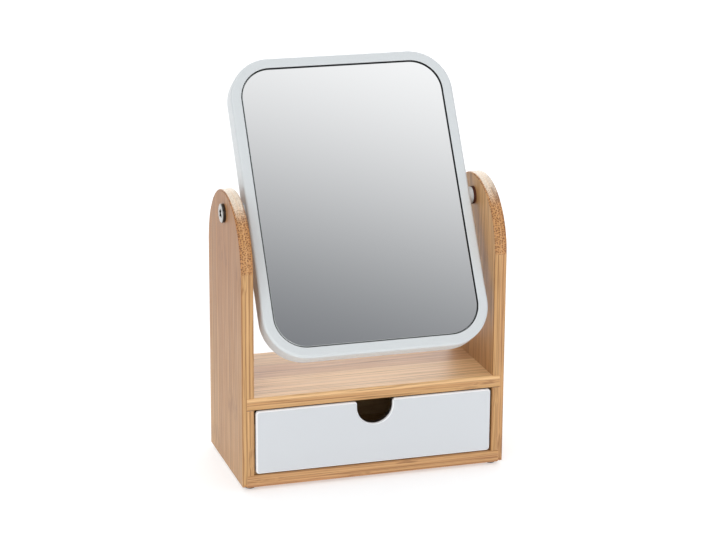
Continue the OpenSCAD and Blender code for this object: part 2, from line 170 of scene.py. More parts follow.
def colour(name, description, value):
    """A colour that a user can set, with an sRGB hex default."""
    return FloatVectorProperty(
        name=name, description=description, subtype="COLOR", size=4, min=0, max=1, default=linear(value)
    )


def length(name, description, millimetres):
    """A length that a user can set, with its default in millimetres."""
    return FloatProperty(
        name=name, description=description, unit="LENGTH", precision=5, min=0, default=millimetres * MM
    )


def angle(name, description, degrees):
    """An angle that a user can set, with its default in degrees."""
    return FloatProperty(
        name=name, description=description, subtype="ANGLE", unit="ROTATION", default=math.radians(degrees)
    )


def factor(name, description, value, top=1.0):
    """A plain number from 0 to top that a user can set."""
    return FloatProperty(name=name, description=description, min=0, max=top, default=value)


class BambooSettings(bpy.types.PropertyGroup):
    """Tones and real sizes of the laminated bamboo."""

    pale: colour("Pale strip", "Tone of the palest strips", "#E6BA84")
    straw: colour("Straw strip", "Tone of most strips", "#C59862")
    rose: colour("Rose strip", "Tone of the darkest strips", "#BF8A5C")
    fibre: colour("Fibre", "Tone of the fibre bundles", "#74431A")
    glue: colour("Glue line", "Tone of the lines between strips", "#80501F")
    soaked: colour("Soaked end", "Tone of a round end, which soaks up more lacquer", "#B67A40")
    # Painted shade: the darker tone that the broad faces of a side panel take towards its top or its foot
    height_shade: colour("Ripe culm", "Tone of the riper end of a culm", "#96581F")
    # Painted highlight: the pale cream on the crown of a round top, where light from above falls
    crown: colour("Crown", "Tone of the crown of a round end, which the sander leaves pale", "#EADDCA")
    strip_width: length("Strip width", "Width of one strip of culm wall", 27)
    panel_ply: length("Panel ply", "Thickness of one of the two plies of a side panel", 5)
    board_ply: length("Board ply", "Thickness of one of the three plies of a board", 3.37)
    sanded_off: length("Sanded off", "How much the sander takes off each face", 0.4)
    glue_width: length("Glue line width", "Width of the line between two strips", 0.4)
    bundle_spacing: length("Bundle spacing", "Distance between fibre bundles", 1.5)
    line_depth: factor("Line depth", "How dark a fibre bundle is on a face along the grain", 0.7)
    dot_depth: factor("Dot depth", "How dark a fibre bundle is on a rounded end", 0.95)
    streak_width: length("Streak width", "Width of the fine streaks along the grain", 0.75)
    streak_length: length("Streak length", "Length of the fine streaks", 45)
    node_spacing: length("Node spacing", "Distance between the nodes of the culm", 230)
    roughness: factor("Roughness", "Roughness of the satin lacquer", 0.42)


class WhiteSettings(bpy.types.PropertyGroup):
    """Tones of the white parts."""

    lacquer: colour("Drawer lacquer", "White of the lacquered drawer front", "#CCCFD2")
    lacquer_cloud: colour("Lacquer cloud", "Cooler tone that lies in the lacquer like a cloud", "#BBC3CA")
    # Painted highlight: a whiter tone on the rounded edges of the drawer front
    painted_edge_highlight: colour("Pooled lacquer", "White of the thicker lacquer on the rounded edges", "#F6F8FA")
    lacquer_roughness: factor("Lacquer roughness", "Roughness of the drawer front", 0.34)
    lacquer_reach: length("Lacquer reach", "How far the lacquer goes back round the edges", 2.4)
    # Bare fibreboard, painted far darker than its own tone: partly the real bare edge, partly painted shade
    # in the gaps round the drawer front and in its notch
    fibreboard_and_gap_shade: colour("Fibreboard", "Tone of the bare fibreboard behind the lacquer", "#22150D")
    plastic: colour("Frame plastic", "White of the moulded frame", "#CED2D3")
    plastic_flow: colour("Plastic flow", "Warmer tone where the plastic flowed in the mould", "#CBCBC8")
    # Painted shade: near black on the wall of the glass pocket, for the shadow in the recess round the
    # glass, and how far behind the front face it starts
    pocket_shade: colour("Seal", "Tone of the dark sealant on the wall of the glass pocket", "#060607")
    pocket_shade_depth: length("Seal depth", "Depth of the sealant below the frame's front face", 0.05)
    plastic_roughness: factor("Plastic roughness", "Roughness of the moulded frame", 0.3)


class GlassSettings(bpy.types.PropertyGroup):
    """The silvered glass and the foam tape behind it."""

    silver: colour("Silver", "What the silvering reflects", "#F2F2F1")
    edge: colour("Edge", "Tone of the ground edge", "#98A3A0")
    foam: colour("Foam", "Tone of the foam tape", "#B9BCBE")
    foam_cell: colour("Foam cell", "Tone in the cells of the foam", "#9DA0A2")
    lean: angle("Lean", "How far the mirror leans back in the model's rest pose", 31.7)


class HardwareSettings(bpy.types.PropertyGroup):
    """The screws, inserts, washers and feet."""

    chrome: colour("Chrome", "What the chrome plating reflects", "#A6A39E")
    # Painted shade in the screw's cross recess and painted dark reflection on the head's upright side: the
    # near-black tone mixed in there
    recess: colour("Recess", "What the bare metal in the screw's recess reflects", "#1C1917")
    chrome_roughness: factor("Chrome roughness", "Roughness of the chrome plating", 0.14)
    brass: colour("Brass", "What the turned brass reflects", "#D8B56A")
    brass_roughness: factor("Brass roughness", "Roughness of the turned brass", 0.25)
    fibre: colour("Fibre", "Tone of the vulcanised fibre washers", "#4A2414")
    fibre_bloom: colour("Fibre bloom", "Tone of the bloom on the fibre", "#6E3A22")
    rubber: colour("Rubber", "Tone of the rubber feet", "#3A2E27")
    rubber_bloom: colour("Rubber bloom", "Tone of the bloom on the rubber", "#6A625C")
    turning: length("Turning marks", "Distance between the marks of a lathe tool", 0.25)
    shank_radius: length("Shank radius", "Radius of the screw's shank", 2.5)
    head_height: length("Head height", "Height of the screw's pan head", 2.6)
    shoulder: length("Shoulder", "Radius of the rounded shoulder of the head", 0.6)
    crown: length("Crown", "Rise of the head's slightly domed face", 0.2)
    recess_reach: length("Recess reach", "Distance from the screw's axis to the tips of its recess", 4.4)
    recess_width: length("Recess width", "Width of each slot of the recess", 2.6)
    recess_depth: length("Recess depth", "Depth of the recess", 1.8)


class PlywoodSettings(bpy.types.PropertyGroup):
    """Plywood of the drawer's box and of the back panel."""

    face: colour("Face veneer", "Tone of the face veneer", "#B9976A")
    grain: colour("Grain", "Tone of the grain lines", "#A67C4C")
    core: colour("Core veneer", "Tone of the core veneers on a cut edge", "#9C7444")
    veneer: length("Veneer thickness", "Thickness of one veneer", 1)
    figure_width: length("Figure width", "Width of the waves of the grain", 9.6)
    figure_length: length("Figure length", "Length of the waves of the grain", 90)
    pore_width: length("Pore width", "Width of the fine pores", 0.5)
    pore_length: length("Pore length", "Length of the fine pores", 14)


class CameraSettings(bpy.types.PropertyGroup):
    """The photograph's point of view."""

    azimuth: angle("Azimuth", "Direction of view round the object, from the front", -16.98)
    elevation: angle("Elevation", "Height of the camera above the horizon", 16.74)
    roll: angle("Roll", "Turn of the camera about its line of sight", 0.34)
    distance: length("Distance", "Distance from the camera to its target", 1772.9)
    target: FloatVectorProperty(
        name="Target", description="Point that the camera looks at", subtype="TRANSLATION", unit="LENGTH",
        default=(1.39 * MM, 0, 145.26 * MM),
    )
    focal_pixels: factor("Focal length", "Focal length in pixels of the photograph", 2400.8, 10000)


class StudioSettings(bpy.types.PropertyGroup):
    """Soft studio light and floor."""

    ambient: colour("Ambient", "Faint bluish light from every side", "#7F8287")
    canopy: factor("Canopy", "Light of the canopy above", 0.88, 20)
    front: factor("Front", "Light of the low softbox in front", 1.6, 20)
    front_high: factor("High front", "Light of the high softbox in front", 1.35, 20)
    left: factor("Left", "Light of the softbox in front on the left", 1.3, 20)
    back: factor("Back", "Light of the softbox behind", 2.1, 20)
    back_right: factor("Back right", "Light of the softbox behind on the right", 0.6, 20)
    floor: colour("Floor", "Tone of the paper floor", "#D8D8D8")
    floor_tooth: colour("Floor tooth", "Tone of the fine tooth of the paper", "#CCCCCC")
    floor_glow: factor("Floor glow", "Light that comes through the paper from a lamp below it", 0.42, 20)


class MakeupMirrorSettings(bpy.types.PropertyGroup):
    """All settings of the makeup mirror."""

    bamboo: PointerProperty(type=BambooSettings, name="Bamboo", description="The bamboo parts")
    white: PointerProperty(type=WhiteSettings, name="White", description="The white parts")
    glass: PointerProperty(type=GlassSettings, name="Glass", description="The mirror glass")
    hardware: PointerProperty(type=HardwareSettings, name="Hardware", description="The small parts")
    plywood: PointerProperty(type=PlywoodSettings, name="Plywood", description="The plywood parts")
    camera: PointerProperty(type=CameraSettings, name="Camera", description="The point of view")
    studio: PointerProperty(type=StudioSettings, name="Studio", description="The light and floor")


def settings():
    """The settings in the open scene."""
    return bpy.context.scene.makeup_mirror


def pivot():
    """A point on the pivots' axis, in the middle of the stand."""
    return tuple(next(j for j in frame["joints"] if j["name"] == "mirror_tilt")["pos_m"])


def mirror_normal():
    """Unit vector straight out of the mirror, as it leans in the model's rest pose."""
    lean = settings().glass.lean
    return (0.0, -math.cos(lean), math.sin(lean))


def add(tree, kind, inputs=(), out=0, **values):
    """Adds one node, such as Math, sets its values, gives each input a constant or the output that it
    is linked from, and returns one of the node's outputs."""
    node = tree.nodes.new("ShaderNode" + kind)
    for name, value in values.items():
        setattr(node, name, value)
    pairs = inputs.items() if isinstance(inputs, dict) else enumerate(inputs)
    for socket, source in pairs:
        if isinstance(source, bpy.types.NodeSocket):
            tree.links.new(source, node.inputs[socket])
        else:
            node.inputs[socket].default_value = source
    return node.outputs[out] if node.outputs else None


def start_material(name, constants):
    """A material with one Principled shader. Returns the material, its tree and the shader's inputs."""
    material = bpy.data.materials.new(name)
    material.use_nodes = True
    tree = material.node_tree
    tree.nodes.clear()
    surface = add(tree, "BsdfPrincipled", constants)
    add(tree, "OutputMaterial", {"Surface": surface})
    return material, tree, surface.node.inputs


def finish_surface(tree, inputs, tone, roughness, height, strength, depth):
    """Links a tone, a roughness and a relief of a real depth to the shader."""
    tree.links.new(tone, inputs["Base Color"])
    tree.links.new(roughness, inputs["Roughness"])
    relief = add(tree, "Bump", {"Height": height, "Strength": strength, "Distance": depth})
    tree.links.new(relief, inputs["Normal"])


def grain_space(tree, axes):
    """Object coordinates as across, through and along the grain, for axes such as YXZ, and how
    squarely each of these three looks out of the surface, from 0 to 1."""
    place = add(tree, "SeparateXYZ", (add(tree, "TexCoord", out="Object"),)).node
    normal = add(tree, "SeparateXYZ", (add(tree, "TexCoord", out="Normal"),)).node
    facing = [add(tree, "Math", (normal.outputs[a],), operation="ABSOLUTE") for a in axes]
    return [place.outputs[a] for a in axes], facing


def lumps(tree, place, sizes, detail=2.0, roughness=0.5):
    """Soft noise from 0 to 1, whose lumps have these real sizes."""
    scaled = add(tree, "VectorMath", (place, sizes), operation="DIVIDE")
    return add(tree, "TexNoise", {"Vector": scaled, "Scale": 1.0, "Detail": detail, "Roughness": roughness})


def uneven(tree, size, detail=2.0):
    """Soft noise over the whole object, whose lumps have a real size."""
    return lumps(tree, add(tree, "TexCoord", out="Object"), (size,) * 3, detail)


def clouded(tree, noise, share, tone, other):
    """A tone that goes a share of the way towards another one where a noise is high."""
    cloud = add(tree, "MapRange", (noise, *MIDDLE, 0.0, share), **SOFT)
    return add(tree, "Mix", {SHARE: cloud, FROM: tone, TO: other}, **COLOURS)


def cells(tree, place, start, size, width):
    """Cells of a size, counted from start: the number of the cell, the place in it from 0 to 1, and a
    mask of the line, width wide, between two cells."""
    from_start = add(tree, "Math", (place, start), operation="SUBTRACT")
    count = add(tree, "Math", (from_start, size), operation="DIVIDE")
    number = add(tree, "Math", (count,), operation="FLOOR")
    within = add(tree, "Math", (count,), operation="FRACT")
    nearest = add(tree, "Math", (count, 0.5), operation="PINGPONG")
    distance = add(tree, "Math", (nearest, size), operation="MULTIPLY")
    full, gone = (share * width for share in LINE_EDGE)
    line = add(tree, "MapRange", (distance, full, gone, 1.0, 0.0), **SOFT)
    return number, within, line


def bundle_cores(tree, place, fade):
    """A mask of the fibre bundles, scattered over the first two coordinates of a place, and fading
    between two shares of their spacing."""
    scaled = add(tree, "VectorMath", (place, (settings().bamboo.bundle_spacing,) * 3), operation="DIVIDE")
    bundles = add(
        tree, "TexVoronoi", {"Vector": scaled, "Scale": 1.0, "Randomness": 0.85}, voronoi_dimensions="2D"
    )
    size = add(tree, "SeparateXYZ", (bundles.node.outputs["Color"],))
    size = add(tree, "MapRange", (size, 0.0, 1.0, *BUNDLE_SIZES))
    reach = add(tree, "Math", (bundles, size), operation="DIVIDE")
    return add(tree, "MapRange", (reach, *fade, 1.0, 0.0), **SOFT)


def culm_node(tree, across, through, along, chance):
    """A mask of the nodes of the culm. They lie at another height in each strip, and askew across it."""
    spacing = settings().bamboo.node_spacing
    section = add(tree, "CombineXYZ", (across, through, 0.0))
    askew = lumps(tree, section, NODE_PATCH, detail=1.0)
    stretch = add(tree, "Math", (chance, NODE_SHIFTS * spacing, along), operation="MULTIPLY_ADD")
    stretch = add(tree, "Math", (askew, NODE_ASKEW, stretch), operation="MULTIPLY_ADD")
    count = add(tree, "Math", (stretch, spacing), operation="DIVIDE")
    nearest = add(tree, "Math", (count, 0.5), operation="PINGPONG")
    full, gone = (size / spacing for size in NODE_FADE)
    return add(tree, "MapRange", (nearest, full, gone, 1.0, 0.0), **SOFT)


def fibre_course(tree, across, through, along, shift, near_node):
    """The place in the culm's grain, where the fibres waver slowly and swerve at a node. The shift
    gives each strip its own piece of the grain."""
    course = add(tree, "CombineXYZ", (shift, through, along))
    waver = lumps(tree, course, WAVER_PATCH, detail=1.0)
    bent = add(tree, "Math", (waver, WAVER, across), operation="MULTIPLY_ADD")
    bent = add(tree, "Math", (near_node, NODE_SWERVE, bent), operation="MULTIPLY_ADD")
    place = add(tree, "CombineXYZ", (bent, through, along))
    own = add(tree, "CombineXYZ", (shift, shift, 0.0))
    return add(tree, "VectorMath", (place, own), operation="ADD")


def fibre_lines(tree, place, depth, near_node):
    """How dark the fibre bundles are along the grain. A bundle runs on through a strip, so the pattern
    has no length of its own. The bundles are drawn further apart than real ones, which would be too
    fine to show. They are fainter towards the inside of the culm wall, and at a node."""
    line_depth = settings().bamboo.line_depth
    inside, at_node = 0.7, 0.25
    lines = bundle_cores(tree, place, LINE_FADE)
    wall = add(tree, "MapRange", (depth, 0.1, 1.0, line_depth, inside * line_depth), **SOFT)
    clear = add(tree, "MapRange", (near_node, 0.2, 0.9, 1.0, at_node), **SOFT)
    lines = add(tree, "Math", (lines, wall), operation="MULTIPLY")
    return add(tree, "Math", (lines, clear), operation="MULTIPLY")


def round_end(tree, lines, across, through, along, end, round_top):
    """The fibres of a panel whose round top has this middle and radius: lines, and on the round end
    dots, which are laid out along the curve and fade on its crown under the painted highlight there.
    Masks of the round end and of its crown, where the painted highlight lies, come with them."""
    dot_depth = settings().bamboo.dot_depth
    crown_highlight_dot_depth = 0.25 * dot_depth
    middle, radius = round_top
    rise = add(tree, "Math", (along, middle), operation="SUBTRACT")
    curve = add(tree, "Math", (rise, across), operation="ARCTAN2")
    curve = add(tree, "Math", (curve, radius), operation="MULTIPLY")
    dots = bundle_cores(tree, add(tree, "CombineXYZ", (curve, through, 0.0)), DOT_FADE)
    crown = add(tree, "MapRange", (end, *CROWN_HIGHLIGHT_EDGE), **SOFT)
    depth = add(tree, "MapRange", (crown, 0.0, 1.0, dot_depth, crown_highlight_dot_depth))
    dots = add(tree, "Math", (dots, depth), operation="MULTIPLY")
    rounded = add(tree, "MapRange", (end, *ROUND_EDGE), **SOFT)
    return add(tree, "Mix", {SHARE: rounded, FROM_NUMBER: lines, TO_NUMBER: dots}), rounded, crown


def shade_by_height(tree, along, broad, round_top, height_shade_shares):
    """Painted shade on the broad faces of a panel, from one share to another towards its top."""
    middle, radius = round_top
    span = (middle - SHADE_RADII * radius, middle + radius)
    height_shade = add(tree, "MapRange", (along, *span, *height_shade_shares), **SOFT)
    return add(tree, "Math", (height_shade, broad), operation="MULTIPLY")


def bamboo(name, axes, start, ply, seed, round_top=None, height_shade_shares=None):
    """Laminated bamboo: strips of split culm wall, glued side by side and in plies, sanded and
    lacquered satin. The eye sees strips of cream, straw and rose with a soft sheen, fine dark fibres
    along them, and a soft smudge at each node of the culm. A panel with a round top shows the fibres
    as dots on its end, which soaked up more lacquer, with a painted highlight, pale cream, on its crown,
    and its broad faces carry painted shade that changes with height.

    axes names the axes across, through and along the grain, start says where a strip and where a ply
    begins, and round_top gives the middle and the radius of a round top."""
    s = settings().bamboo
    material, tree, shader = start_material(name, {"IOR": 1.5})
    (across, through, along), (_, broad, end) = grain_space(tree, axes)

    # Strips and plies, each with its own tone and its own piece of culm
    strip, _, strip_line = cells(tree, across, start[0], s.strip_width, s.glue_width)
    layer, depth, layer_line = cells(tree, through, start[1], ply, s.glue_width)
    cell = add(tree, "CombineXYZ", (strip, layer, float(seed)))
    chance = add(tree, "TexWhiteNoise", {"Vector": cell}, noise_dimensions="3D")
    shift = add(tree, "Math", (chance, STRIP_SCATTER), operation="MULTIPLY")
    near_node = culm_node(tree, across, through, along, chance)
    place = fibre_course(tree, across, through, along, shift, near_node)
    slow = lumps(tree, place, SLOW_PATCH, detail=3.0)
    streak = (s.streak_width, s.streak_width, s.streak_length)
    streaks = lumps(tree, place, streak, detail=3.0, roughness=0.6)

    # Layers over the tone of a strip, each with its share and its tone. First come slow changes and
    # fine streaks: the noise that each follows, where it starts and is full, its full share and tone.
    shares = [
        (add(tree, "MapRange", (noise, none, full, 0.0, share), **SOFT), towards)
        for noise, none, full, share, towards in (
            (slow, 0.5, 0.75, 0.6, s.straw),
            (slow, 0.5, 0.25, 0.16, s.fibre),
            (streaks, 0.5, 0.75, 0.6, s.fibre),
            (streaks, 0.5, 0.25, 0.5, s.pale),
        )
    ]
    fibres = fibre_lines(tree, place, depth, near_node)
    if round_top:
        fibres, rounded, crown = round_end(tree, fibres, across, through, along, end, round_top)
        shares += [
            # Painted shade on the broad faces, changing with height
            (shade_by_height(tree, along, broad, round_top, height_shade_shares), s.height_shade),
            (add(tree, "Math", (rounded, 0.5), operation="MULTIPLY"), s.soaked),
            # Painted highlight on the crown
            (add(tree, "Math", (crown, 0.85), operation="MULTIPLY"), s.crown),
        ]

    # The fibres, a node's smudge and the glue lie over all this
    smudge = lumps(tree, place, SMUDGE_PATCH)
    smudge = add(tree, "MapRange", (smudge, 0.35, 0.65, 0.05, 0.5), **SOFT)
    shares += [
        (fibres, s.fibre),
        (add(tree, "Math", (smudge, near_node), operation="MULTIPLY"), s.fibre),
        (add(tree, "Math", (strip_line, 0.3), operation="MULTIPLY"), s.glue),
        (add(tree, "Math", (layer_line, 0.5), operation="MULTIPLY"), s.pale),
    ]

    # Chance draws the tone of a strip
    tone = add(tree, "ValToRGB", (chance,))
    stops = tone.node.color_ramp.elements
    stops.new(STRIP_STOPS[1])
    for stop, position, strip_tone in zip(stops, STRIP_STOPS, (s.pale, s.straw, s.rose)):
        stop.position = position
        stop.color = strip_tone
    for share, towards in shares:
        tone = add(tree, "Mix", {SHARE: share, FROM: tone, TO: towards}, **COLOURS)

    satin = add(tree, "MapRange", (streaks, *MIDDLE, s.roughness - 0.05, s.roughness + 0.08), **SOFT)
    height = add(tree, "Math", (fibres, -0.8, streaks), operation="MULTIPLY_ADD")
    finish_surface(tree, shader, tone, satin, height, strength=0.15, depth=0.12 * MM)
    return material


def plywood(name, axes, through_start):
    """Birch plywood: rotary-cut veneers glued crosswise, sanded and left bare. The eye sees a pale face
    with soft wavy grain, and light and dark bands on the cut edges."""
    s = settings().plywood
    material, tree, shader = start_material(name, {"IOR": 1.5})
    (across, through, along), (_, face, _) = grain_space(tree, axes)
    place = add(tree, "CombineXYZ", (across, through, along))
    figure_depth, pore_depth = 6 * MM, 1 * MM
    figure = lumps(tree, place, (s.figure_width, figure_depth, s.figure_length))
    pores = lumps(tree, place, (s.pore_width, pore_depth, s.pore_length))

    # The knife cuts along the tree's rings, which show as waves: their phase over the whole range of
    # the figure, in radians, and how strongly they show
    phase, ring_share = 38.0, 0.18
    rings = add(tree, "Math", (figure, phase), operation="MULTIPLY")
    rings = add(tree, "Math", (rings,), operation="SINE")
    open_pores = add(tree, "MapRange", (pores, 0.45, 0.75, 0.0, 0.5), **SOFT)
    grain = add(tree, "Math", (rings, ring_share, open_pores), operation="MULTIPLY_ADD", use_clamp=True)
    tone = add(tree, "Mix", {SHARE: grain, FROM: s.face, TO: s.grain}, **COLOURS)

    # Every second veneer shows its end grain on a cut edge
    number, _, _ = cells(tree, through, through_start, s.veneer, s.veneer)
    crosswise = add(tree, "Math", (number, 1.0), operation="PINGPONG")
    edge = add(tree, "MapRange", (face, 0.3, 0.7, 0.7, 0.0), **SOFT)
    band = add(tree, "Math", (crosswise, edge), operation="MULTIPLY")
    tone = add(tree, "Mix", {SHARE: band, FROM: tone, TO: s.core}, **COLOURS)
    dull = add(tree, "MapRange", (pores, *MIDDLE, 0.58, 0.7), **SOFT)
    finish_surface(tree, shader, tone, dull, pores, strength=0.2, depth=0.1 * MM)
    return material


def lacquered_board(name, face):
    """Fibreboard sprayed with white acrylic lacquer, satin, on its face, which lies at y = face, and a
    little way round its edges. The eye sees a smooth cool white with the faint orange peel of the spray,
    which breaks up the sheen. The rounded edges are painted whiter, a painted highlight. The bare
    fibreboard behind the lacquer is painted near black, darker than its own tone, as painted shade for
    the gaps round the drawer front and inside its notch."""
    s = settings().white
    material, tree, shader = start_material(
        name, {"IOR": 1.48, "Coat Weight": 0.4, "Coat Roughness": 0.1}
    )
    cloud_size, ragged_size, peel_size = 60 * MM, 3 * MM, 1.8 * MM
    tone = clouded(tree, uneven(tree, cloud_size), 0.03, s.lacquer, s.lacquer_cloud)

    # The flat face looks to the front, along -Y, and a rounded edge turns away from there. The
    # rounded edges get the painted highlight, a whiter tone.
    flat, rounded = -0.97, -0.8
    looks = add(tree, "SeparateXYZ", (add(tree, "TexCoord", out="Normal"),), out="Y")
    painted_edge_highlight = add(tree, "MapRange", (looks, flat, rounded), **SOFT)
    tone = add(tree, "Mix", {SHARE: painted_edge_highlight, FROM: tone, TO: s.painted_edge_highlight}, **COLOURS)

    # The lacquer ends in a ragged and soft line
    ragged_by, line_width = 0.4 * MM, 0.3 * MM
    place = add(tree, "SeparateXYZ", (add(tree, "TexCoord", out="Object"),), out="Y")
    ragged = add(tree, "Math", (uneven(tree, ragged_size), ragged_by, place), operation="MULTIPLY_ADD")
    # Behind this line the bare fibreboard is painted near black, partly its own tone and partly painted
    # shade for the gaps and the notch
    reach = face + s.lacquer_reach
    bare = add(tree, "MapRange", (ragged, reach, reach + line_width), **SOFT)
    tone = add(tree, "Mix", {SHARE: bare, FROM: tone, TO: s.fibreboard_and_gap_shade}, **COLOURS)
    peel = uneven(tree, peel_size, detail=1.0)
    r = s.lacquer_roughness
    satin = add(tree, "MapRange", (peel, *MIDDLE, r - 0.03, r + 0.04), **SOFT)
    satin = add(tree, "Math", (bare, 0.4, satin), operation="MULTIPLY_ADD")
    finish_surface(tree, shader, tone, satin, peel, strength=0.06, depth=0.1 * MM)
    return material


def moulded_plastic(name, pocket_front=None):
    """White ABS, injection moulded in a fine satin tool. The eye sees an even milky white with a soft
    highlight that breaks on the tool's fine texture. Where pocket_front gives how far the frame's front
    face lies from the pivots' axis, the wall of its glass pocket is painted near black: painted shade
    for the shadow in the recess round the glass and for its reflection in the mirror."""
    s = settings().white
    material, tree, shader = start_material(
        name, {"IOR": 1.53, "Subsurface Weight": 0.06, "Subsurface Radius": (1 * MM,) * 3}
    )
    flow_size, texture_size = 45 * MM, 0.5 * MM
    tone = clouded(tree, uneven(tree, flow_size), 0.02, s.plastic, s.plastic_flow)
    if pocket_front:
        # The pocket's wall looks towards the mirror's middle, which is further away than wall_far. A
        # wall that is nearer than wall_near is another one.
        wall_far, wall_near = 50 * MM, 30 * MM
        place = add(tree, "TexCoord", out="Object")
        from_axis = add(tree, "VectorMath", (place, pivot()), operation="SUBTRACT")
        looks = (add(tree, "TexCoord", out="Normal"), from_axis)
        looks = add(tree, "VectorMath", looks, **DOT)
        inwards = add(tree, "MapRange", (looks, -wall_far, -wall_near, 1.0, 0.0), **SOFT)
        forward = add(tree, "VectorMath", (from_axis, mirror_normal()), **DOT)
        # Painted shade: the pocket's wall turns near black just behind the front face, for the shadow in
        # the recess and its reflection in the glass
        shade_front, shade_edge = pocket_front - s.pocket_shade_depth, 0.1 * MM
        pocket_shaded = add(tree, "MapRange", (forward, shade_front, shade_front - shade_edge), **SOFT)
        pocket_shaded = add(tree, "Math", (pocket_shaded, inwards), operation="MULTIPLY")
        tone = add(tree, "Mix", {SHARE: pocket_shaded, FROM: tone, TO: s.pocket_shade}, **COLOURS)
    texture = uneven(tree, texture_size, detail=1.0)
    r = s.plastic_roughness
    satin = add(tree, "MapRange", (texture, *MIDDLE, r - 0.03, r + 0.05), **SOFT)
    finish_surface(tree, shader, tone, satin, texture, strength=0.04, depth=0.05 * MM)
    return material


def silvered_glass(name):
    """Float glass silvered behind, with a ground edge. The eye sees a clear, very slightly cloudy
    reflection that ends in a thin grey line."""
    s = settings().glass
    material, tree, shader = start_material(name, {})
    cloud_size, ground_roughness = 30 * MM, 0.5

    # The ground edge looks aside from the way that the mirror looks
    normal = add(tree, "TexCoord", out="Normal")
    facing = add(tree, "VectorMath", (normal, mirror_normal()), **DOT)
    squarely = add(tree, "Math", (facing,), operation="ABSOLUTE")
    edge = add(tree, "MapRange", (squarely, 0.85, 0.98, 1.0, 0.0), **SOFT)
    polish = add(tree, "MapRange", (uneven(tree, cloud_size), *MIDDLE, 0.006, 0.016), **SOFT)
    ground = add(tree, "Math", (edge, ground_roughness), operation="MULTIPLY")
    silvered = add(tree, "Math", (1.0, edge), operation="SUBTRACT")
    tree.links.new(add(tree, "Math", (polish, ground), operation="MAXIMUM"), shader["Roughness"])
    tree.links.new(silvered, shader["Metallic"])
    tone = add(tree, "Mix", {SHARE: edge, FROM: s.silver, TO: s.edge}, **COLOURS)
    tree.links.new(tone, shader["Base Color"])
    return material


def foam_tape(name):
    """Closed-cell polyethylene foam tape. The eye sees a matt pale grey with fine cells."""
    s = settings().glass
    material, tree, shader = start_material(name, {})
    cell_size = 0.4 * MM
    foam = uneven(tree, cell_size)
    cell = add(tree, "MapRange", (foam, 0.4, 0.6), **SOFT)
    tone = add(tree, "Mix", {SHARE: cell, FROM: s.foam, TO: s.foam_cell}, **COLOURS)
    matt = add(tree, "MapRange", (foam, *MIDDLE, 0.85, 0.95), **SOFT)
    finish_surface(tree, shader, tone, matt, foam, strength=0.4, depth=0.1 * MM)
    return material


def turned_metal(name, tint, roughness, head_top=None):
    """Metal turned on a lathe and then polished or plated. The eye sees fine rings about the axis. A
    screw's head, whose top lies head_top from the middle of the stand, has painted shade, a near-black
    tone, in its cross recess, and a painted dark reflection, which stands for the unlit room, on its
    upright side."""
    s = settings().hardware
    material, tree, shader = start_material(name, {"Metallic": 1.0})
    place = add(tree, "TexCoord", out="Object")
    from_axis = add(tree, "VectorMath", (place, pivot()), operation="SUBTRACT")
    flat = add(tree, "VectorMath", (from_axis, (0.0, 1.0, 1.0)), operation="MULTIPLY")
    radius = add(tree, "VectorMath", (flat,), out="Value", operation="LENGTH")
    turns = add(tree, "Math", (radius, s.turning / (2 * math.pi)), operation="DIVIDE")
    turns = add(tree, "Math", (turns,), operation="SINE")
    polish = add(tree, "MapRange", (turns, -1.0, 1.0, roughness * 0.8, roughness * 1.3), **SOFT)
    if head_top is None:
        cloud_size, dulled = 3 * MM, 0.8
        dull = (*(dulled * part for part in tuple(tint)[:3]), 1.0)
        tone = clouded(tree, uneven(tree, cloud_size), 0.6, tint, dull)
    else:
        # A place that is sunk below the head's top lies in the recess, or on the upright side where it
        # is further out than the recess reaches. Both are painted near black: painted shade in the recess
        # and a painted dark reflection on the side.
        recess_shade_edge, painted_reflection_edge = (0.2 * MM, 0.5 * MM), (0.4 * s.shoulder, s.shoulder)
        tips = (s.recess_reach + 0.1 * MM, s.recess_reach + 0.4 * MM)
        sideways = add(tree, "Math", (add(tree, "SeparateXYZ", (place,)),), operation="ABSOLUTE")
        sunk = add(tree, "Math", (head_top, sideways), operation="SUBTRACT")
        recess = add(tree, "MapRange", (sunk, *recess_shade_edge), **SOFT)
        upright = add(tree, "MapRange", (sunk, *painted_reflection_edge, 0.0, 0.85), **SOFT)
        within = add(tree, "MapRange", (radius, *tips, 1.0, 0.0), **SOFT)
        dark = add(tree, "Mix", {SHARE: within, FROM_NUMBER: upright, TO_NUMBER: recess})
        # Painted shade in the recess and a painted dark reflection on the upright side
        tone = add(tree, "Mix", {SHARE: dark, FROM: tint, TO: s.recess}, **COLOURS)
    finish_surface(tree, shader, tone, polish, turns, strength=0.03, depth=0.02 * MM)
    return material


def matt_moulding(name, body, bloom):
    """Moulded rubber or pressed fibre, matt. The eye sees a dark tone that hardly shines, with a faint
    bloom on it."""
    material, tree, shader = start_material(name, {"Specular IOR Level": 0.35})
    patch_size = 1.5 * MM
    patches = uneven(tree, patch_size)
    share = add(tree, "MapRange", (patches, 0.35, 0.7, 0.0, 0.18), **SOFT)
    tone = add(tree, "Mix", {SHARE: share, FROM: body, TO: bloom}, **COLOURS)
    matt = add(tree, "MapRange", (patches, *MIDDLE, 0.65, 0.85), **SOFT)
    finish_surface(tree, shader, tone, matt, patches, strength=0.05, depth=0.1 * MM)
    return material


